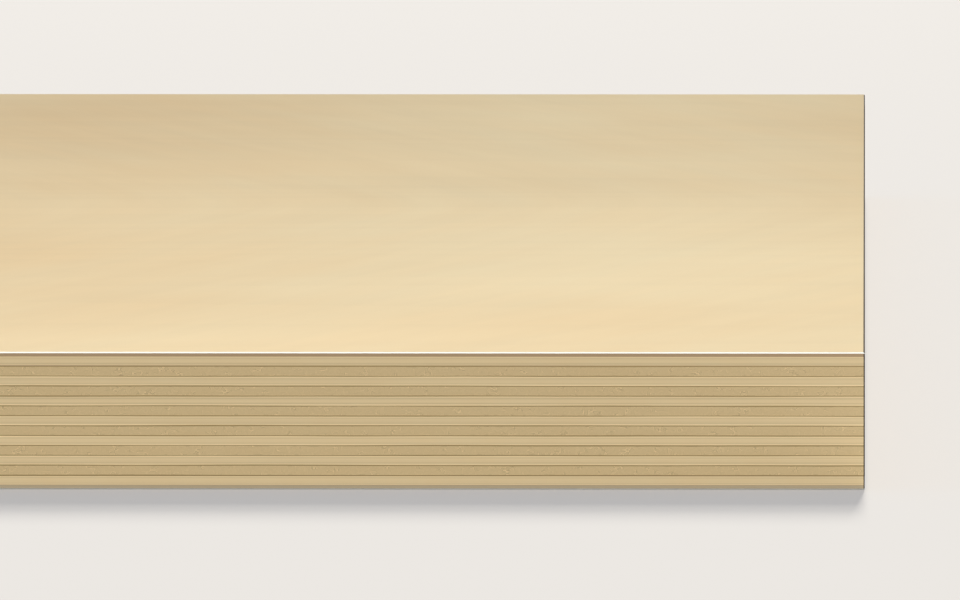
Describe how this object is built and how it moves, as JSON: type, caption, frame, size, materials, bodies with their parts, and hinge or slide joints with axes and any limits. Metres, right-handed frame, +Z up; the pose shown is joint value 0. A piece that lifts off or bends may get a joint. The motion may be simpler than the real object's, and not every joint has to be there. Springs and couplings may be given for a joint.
{
  "type": "plywood sheet",
  "caption": "Full sheet of veneered plywood lying flat, with cross-bonded core plies showing along its square sawn edges.",
  "frame": {"origin": "middle of the underside, on the face that rests on the floor", "axes": "+X along the sheet's length and its face grain, +Y across its width, +Z up through the plies to the face veneer"},
  "size_m": [2.44, 1.22, 0.019],
  "materials": {
    "face_veneer": "smooth sanded pale birch veneer, bare",
    "long_grain_ply": "sawn edge, grain along the sheet's length",
    "cross_grain_ply": "sawn edge, grain across the sheet",
    "back_veneer": "smooth sanded pale birch veneer, bare"
  },
  "bodies": {
    "root": {"face_veneer": "face_veneer", "core_ply_01": "long_grain_ply", "core_ply_02": "cross_grain_ply", "core_ply_03": "long_grain_ply", "core_ply_04": "cross_grain_ply", "core_ply_05": "long_grain_ply", "core_ply_06": "cross_grain_ply", "core_ply_07": "long_grain_ply", "core_ply_08": "cross_grain_ply", "core_ply_09": "long_grain_ply", "core_ply_10": "cross_grain_ply", "core_ply_11": "long_grain_ply", "core_ply_12": "cross_grain_ply", "core_ply_13": "long_grain_ply", "back_veneer": "back_veneer"}
  },
  "joints": []
}
